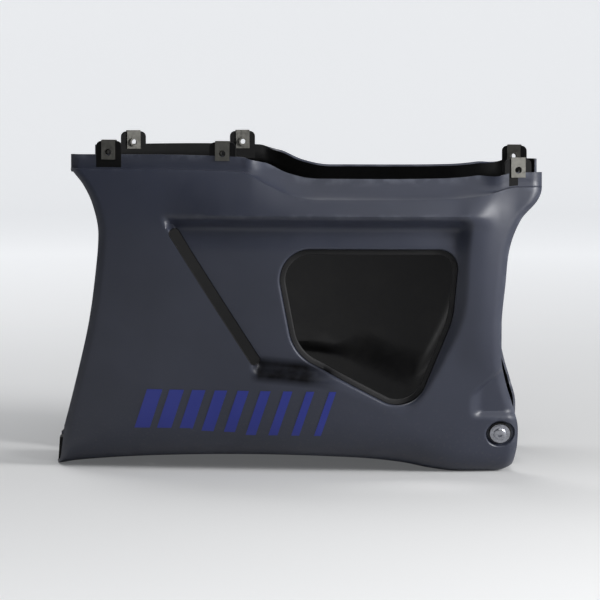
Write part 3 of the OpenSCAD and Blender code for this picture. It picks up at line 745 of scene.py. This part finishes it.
def side_film():
    """Slanted bars of thin printed film that lie on the skin."""
    sheet, off_skin = Sheet(), 0.3
    z = FILM_Z + np.linspace(0, FILM_H, 25)
    for i in range(FILM_BARS):
        rows = []
        for share in np.linspace(0, 1, 13):
            x = FILM_X + i * FILM_PITCH + FILM_LEAN * (z - FILM_Z) + FILM_BAR_W * (1 - 0.07 * i) * share
            rows.append(sheet.add(np.stack([x, -low_side(x, z) - off_skin, z], axis=-1)))
        for a, b in zip(rows, rows[1:]):
            sheet.strip(a, b)
    data = sheet.mesh("printed_bars")
    face_outwards(data)
    obj = link("printed_bars", data)
    obj.data.materials.append(MATERIALS["film"])
    thick = obj.modifiers.new("film", "SOLIDIFY")
    thick.thickness = 0.0005
    thick.offset = -1
    apply_modifiers(obj)
    smooth(obj, 40)
    return obj


def heat_mat(name, sign):
    """Foil-faced fibre mat in the turn of one half, with a crumpled face."""
    gap = WALL + 0.3
    rows, *_ = turn_rows(np.linspace(share_at(-38), share_at(101), 90), np.linspace(0.2, 1, 45))
    grid = np.array(rows)
    du = np.gradient(grid, axis=1)
    dv = np.gradient(grid, axis=0)
    normal = np.cross(du, dv)
    normal /= np.linalg.norm(normal, axis=2)[:, :, None]
    if normal[0, 45, 1] < 0:
        normal = -normal
    n_rows, n_cols = grid.shape[:2]
    sheet = Sheet()
    edge = np.minimum.outer(np.minimum(np.arange(n_rows), np.arange(n_rows)[::-1]) / 2.5,
                            np.minimum(np.arange(n_cols), np.arange(n_cols)[::-1]) / 2.5)
    full = gap + 0.8 + (MAT_T - 1.2) * ramp(edge)
    crumple = np.array([[0.5 * noise.fractal(Vector(p) * 0.09, 1, 2, 3) for p in row] for row in grid])
    face = [sheet.add(r) for r in grid + normal * (full + crumple * ramp(edge / 2))[:, :, None]]
    back = [sheet.add(r) for r in grid + normal * gap]
    for a, b in zip(face, face[1:]):
        sheet.strip(a, b)
    for a, b in zip(back, back[1:]):
        sheet.strip(b, a)
    sheet.strip(face[0], back[0])
    sheet.strip(back[-1], face[-1])
    sheet.strip([r[0] for r in back], [r[0] for r in face])
    sheet.strip([r[-1] for r in face], [r[-1] for r in back])
    data = sheet.mesh(name)
    if sign < 0:
        mirrored(data)
    obj = link(name, data)
    obj.data.materials.append(MATERIALS["foil"])
    smooth(obj, 60)
    return obj


def srgb(r, g, b):
    """Linear colour of an 8-bit screen colour."""
    shares = (r / 255, g / 255, b / 255)
    return tuple(c / 12.92 if c <= 0.04045 else ((c + 0.055) / 1.055) ** 2.4 for c in shares) + (1,)


class Nodes:
    """Short way to build a material's node tree."""

    def __init__(self, name, **sockets):
        self.material = bpy.data.materials.new(name)
        self.material.use_nodes = True
        self.tree = self.material.node_tree
        self.shader = self.tree.nodes["Principled BSDF"]
        for key, value in sockets.items():
            self.shader.inputs[key.replace("_", " ")].default_value = value
        self.place = self.tree.nodes.new("ShaderNodeTexCoord").outputs["Object"]

    def node(self, kind, inputs=(), **props):
        """A node with these inputs, each either another node's output or a value."""
        n = self.tree.nodes.new(kind)
        for k, v in props.items():
            setattr(n, k, v)
        for k, v in dict(inputs).items():
            if hasattr(v, "is_output"):
                self.tree.links.new(v, n.inputs[k])
            else:
                n.inputs[k].default_value = v
        return n

    def noise(self, scale, detail):
        inputs = {"Vector": self.place, "Scale": scale, "Detail": detail, "Roughness": 0.5}
        return self.node("ShaderNodeTexNoise", inputs).outputs["Fac"]

    def remap(self, value, low, high, to_low=0.0, to_high=1.0):
        n = self.node("ShaderNodeMapRange", {"Value": value, "From Min": low, "From Max": high,
                                             "To Min": to_low, "To Max": to_high})
        return n.outputs["Result"]

    def mix(self, factor, a, b):
        n = self.node("ShaderNodeMix", data_type="RGBA")
        for socket, value in ((n.inputs["Factor"], factor), (n.inputs["A"], a), (n.inputs["B"], b)):
            sockets = [s for s in n.inputs if s.name == socket.name and s.enabled]
            target = sockets[0] if sockets else socket
            if hasattr(value, "is_output"):
                self.tree.links.new(value, target)
            else:
                target.default_value = value
        return [o for o in n.outputs if o.enabled][0]

    def math(self, operation, a, b):
        return self.node("ShaderNodeMath", {0: a, 1: b}, operation=operation).outputs[0]

    def bump(self, height, strength, distance, normal=None):
        inputs = {"Height": height, "Strength": strength, "Distance": distance}
        if normal:
            inputs["Normal"] = normal
        return self.node("ShaderNodeBump", inputs).outputs["Normal"]

    def set(self, key, value):
        """Links an output to one of the shader's sockets."""
        self.tree.links.new(value, self.shader.inputs[key])


def painted_ledge_shade(n):
    """Share of the painted shade along the left recess's lower edge, from the slot's foot to the window."""
    split = n.node("ShaderNodeSeparateXYZ", {0: n.place}).outputs
    x, y, z = split["X"], split["Y"], split["Z"]
    along_ledge = n.math("MULTIPLY", n.remap(x, -0.039, -0.031), n.remap(x, 0.042, 0.012))
    on_left = n.math("MULTIPLY", along_ledge, n.remap(y, 0.0, -0.1))
    line = n.math("ADD", z, n.math("MULTIPLY", x, 0.09))
    height = n.math("MULTIPLY", n.remap(line, 0.079, 0.086), n.remap(line, 0.105, 0.098))
    patches = n.remap(n.noise(110, 3), 0.3, 0.6, 0.85, 1.0)
    return n.math("MULTIPLY", n.math("MULTIPLY", on_left, height), patches)


def painted_abs():
    """Matte blue-grey paint with faint mottling, fine grain, paler edges, dust low on the sides and a band of
    painted shade along the left recess's lower edge.
    """
    n = Nodes("painted_abs", Coat_Roughness=0.38)
    base, pale, dust = srgb(44, 48, 62), srgb(60, 64, 80), srgb(98, 94, 90)
    mottle = n.remap(n.noise(14, 3), 0.3, 0.7, 0.0, 0.35)
    colour = n.mix(mottle, base, pale)
    edge = n.node("ShaderNodeNewGeometry").outputs["Pointiness"]
    worn = n.math("MULTIPLY", n.remap(edge, 0.52, 0.58, 0.0, 0.5), n.remap(n.noise(90, 3), 0.45, 0.65))
    colour = n.mix(worn, colour, srgb(88, 92, 104))
    height = n.node("ShaderNodeSeparateXYZ", {0: n.place}).outputs["Z"]
    low = n.remap(height, 0.09, 0.0, 0.0, 0.22)
    specks = n.remap(n.noise(420, 2), 0.56, 0.72)
    colour = n.mix(n.math("MULTIPLY", low, specks), colour, dust)
    # Painted shade: the paint turns near black in a band along the left recess's lower edge, with less
    # specular and coat there.
    ledge_shade = painted_ledge_shade(n)
    n.set("Base Color", n.mix(ledge_shade, colour, srgb(11, 11, 14)))
    n.set("Specular IOR Level", n.remap(ledge_shade, 0.0, 1.0, 0.5, 0.1))
    n.set("Coat Weight", n.remap(ledge_shade, 0.0, 1.0, 0.18, 0.0))
    n.set("Roughness", n.remap(n.noise(60, 2), 0.3, 0.7, 0.41, 0.53))
    n.set("Normal", n.bump(n.noise(1500, 2), 0.12, 0.0002))
    return n.material


def bare_abs():
    """Unpainted black moulding, with a faint grain and a bloom of dust."""
    n = Nodes("bare_abs", Specular_IOR_Level=0.18)
    dust = n.remap(n.noise(30, 4), 0.5, 0.75, 0.0, 0.3)
    n.set("Base Color", n.mix(dust, srgb(12, 12, 13), srgb(28, 27, 26)))
    n.set("Roughness", n.remap(n.noise(200, 2), 0.3, 0.7, 0.45, 0.6))
    n.set("Normal", n.bump(n.noise(2600, 2), 0.2, 0.0002))
    return n.material


def rubber():
    """Black rubber with a faint bloom."""
    n = Nodes("rubber", Roughness=0.7)
    bloom = n.remap(n.noise(70, 3), 0.4, 0.8, 0.0, 0.4)
    n.set("Base Color", n.mix(bloom, srgb(18, 18, 20), srgb(40, 39, 39)))
    n.set("Normal", n.bump(n.noise(900, 3), 0.25, 0.0002))
    return n.material


def film():
    """Dark blue printed film, slightly glossier than the paint round it."""
    n = Nodes("film", Roughness=0.4, Coat_Weight=0.15, Coat_Roughness=0.25)
    fade = n.remap(n.noise(25, 3), 0.3, 0.7, 0.0, 0.5)
    n.set("Base Color", n.mix(fade, srgb(33, 45, 134), srgb(45, 57, 148)))
    n.set("Roughness", n.remap(n.noise(300, 2), 0.3, 0.7, 0.34, 0.46))
    return n.material


def foil():
    """Crumpled aluminium foil with small creases."""
    n = Nodes("foil", Metallic=1.0, Roughness=0.4)
    cells = n.node("ShaderNodeTexVoronoi", {"Vector": n.place, "Scale": 260.0}, feature="DISTANCE_TO_EDGE")
    creases = n.remap(cells.outputs["Distance"], 0.0, 0.2)
    n.set("Base Color", n.mix(n.noise(50, 3), srgb(150, 151, 152), srgb(112, 113, 114)))
    n.set("Roughness", n.remap(n.noise(120, 2), 0.3, 0.7, 0.32, 0.5))
    n.set("Normal", n.bump(creases, 0.5, 0.0006, n.bump(n.noise(160, 3), 0.4, 0.001)))
    return n.material


def plated(name, tone, rough):
    """Zinc-plated steel with a faint spangle of random darker patches."""
    n = Nodes(name, Metallic=1.0, Roughness=rough)
    dull = tuple(c * 0.6 for c in tone[:3]) + (1,)
    n.set("Base Color", n.mix(n.remap(n.noise(260, 3), 0.4, 0.75, 0.0, 0.6), tone, dull))
    n.set("Roughness", n.remap(n.noise(500, 2), 0.3, 0.7, rough - 0.06, rough + 0.1))
    n.set("Normal", n.bump(n.noise(1400, 2), 0.08, 0.0001))
    return n.material


def nylon():
    """Black nylon of the push rivets, faintly mottled."""
    n = Nodes("black_nylon", Roughness=0.5)
    mottle = n.remap(n.noise(80, 3), 0.4, 0.7, 0.0, 0.4)
    n.set("Base Color", n.mix(mottle, srgb(24, 24, 26), srgb(44, 43, 43)))
    n.set("Normal", n.bump(n.noise(1800, 2), 0.15, 0.0001))
    return n.material


MATERIALS = {"painted_abs": painted_abs(), "bare_abs": bare_abs(), "rubber": rubber(), "film": film(),
             "foil": foil(), "steel": plated("steel", srgb(190, 192, 200), 0.3),
             "zinc": plated("zinc", srgb(128, 127, 122), 0.42), "black_nylon": nylon()}

SLOTS = {p["node"]: p["material_slot"] for p in frame["record"]["subparts"]}


def dress(node):
    """Gives a CAD node that stays its material and soft-edged shading."""
    obj = frame["nodes"][node]
    obj.data.materials.clear()
    obj.data.materials.append(MATERIALS[SLOTS[node]])
    smooth(obj, 32)


def place(obj, slot, *nodes):
    """Puts a piece on the body and hides the nodes that it stands for; slot is not used."""
    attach(obj, "root")
    if nodes:
        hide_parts(*nodes)


REPLACED = {"left_cowl", "right_cowl", "window_seal", "side_film", "left_heat_mat", "right_heat_mat"}
for node in frame["nodes"]:
    if node not in REPLACED:
        dress(node)

for half, sign in (("left", 1), ("right", -1)):
    place(cowl(half + "_moulding", sign > 0), "painted_abs", half + "_cowl")
    place(heat_mat(half + "_foil_mat", sign), "foil", half + "_heat_mat")
    for tab, x in TAB_XS.items():
        place(seam_tab(f"{half}_seam_tab_{tab}", x, sign), "painted_abs")
    for i in range(3):
        rib_x = FRONT_X + RIB_INSET + RIB_PITCH * i
        place(floor_rib(f"{half}_floor_rib_{i + 1}", rib_x, sign), "painted_abs")
for cutter in CUTTERS:
    bpy.data.objects.remove(cutter)
place(window_seal(), "rubber", "window_seal")
place(side_film(), "film", "side_film")


LAMPS = {"key": ((2.24, -1.34, 0.98), 1.1, 85), "fill": ((0.4, -1.9, 1.6), 1.0, 6),
         "top": ((0.2, -0.8, 2.4), 1.6, 9), "back": ((-1.0, 1.7, 2.6), 1.8, 34)}


def bowl_floor():
    """Pale floor that rises seamlessly all round, and turns white with distance to the camera alone."""
    n = Nodes("floor", Roughness=0.95, Specular_IOR_Level=0.0)
    n.set("Base Color", n.mix(n.noise(1.5, 2), (0.60, 0.60, 0.60, 1), (0.63, 0.63, 0.63, 1)))
    away = n.node("ShaderNodeVectorMath", {0: n.place}, operation="LENGTH").outputs["Value"]
    seen = n.node("ShaderNodeLightPath").outputs["Is Camera Ray"]
    n.shader.inputs["Emission Color"].default_value = (0.95, 0.97, 1.0, 1)
    n.set("Emission Strength", n.math("MULTIPLY", seen, n.remap(away, 0.2, 3.2, 0.1, 0.72)))
    profile = [(r, 0) for r in (0.01, 1, 2, 3, 4, 4.6)]
    profile += [(4.6 + math.sin(t), 1 - math.cos(t)) for t in np.radians(range(6, 91, 6))] + [(5.6, 1.6)]
    turns = np.linspace(0, 2 * math.pi, FLOOR_TURNS, endpoint=False)
    points = [(r * math.cos(t), r * math.sin(t), z) for r, z in profile for t in turns]
    faces = [tuple(range(FLOOR_TURNS))]
    for start in range(0, len(points) - FLOOR_TURNS, FLOOR_TURNS):
        for j in range(FLOOR_TURNS):
            a, b = start + j, start + (j + 1) % FLOOR_TURNS
            faces.append((a, b, b + FLOOR_TURNS, a + FLOOR_TURNS))
    data = bpy.data.meshes.new("floor")
    data.from_pydata(points, [], faces)
    data.materials.append(n.material)
    floor = link("floor", data)
    smooth(floor, 80)


def studio():
    """Floor, soft lamps and the photograph's view of the left side."""
    scene = bpy.context.scene
    scene.view_settings.view_transform = "Standard"
    bowl_floor()
    world = bpy.data.worlds.new("studio")
    scene.world = world
    world.use_nodes = True
    lit = world.node_tree.nodes["Background"]
    lit.inputs["Color"].default_value = (0.86, 0.92, 1.0, 1)
    lit.inputs["Strength"].default_value = 0.07

    for name, (spot, size, power) in LAMPS.items():
        lamp = bpy.data.lights.new(name, "AREA")
        lamp.size = size
        lamp.energy = power
        obj = link(name, lamp)
        obj.location = spot
        obj.rotation_euler = (Vector((0, 0, 0.12)) - Vector(spot)).to_track_quat("-Z", "Y").to_euler()

    azimuth, elevation, distance = math.radians(2.3), math.radians(4), 4.0
    camera = bpy.data.cameras.new("camera")
    camera.lens = 260
    camera.sensor_width = 36
    obj = link("camera", camera)
    aim = Vector((0, 0, 0.146))
    way = Vector((math.sin(azimuth) * math.cos(elevation), -math.cos(azimuth) * math.cos(elevation),
                  math.sin(elevation)))
    obj.location = aim + distance * way
    obj.rotation_euler = (-way).to_track_quat("-Z", "Y").to_euler()
    scene.camera = obj


studio()
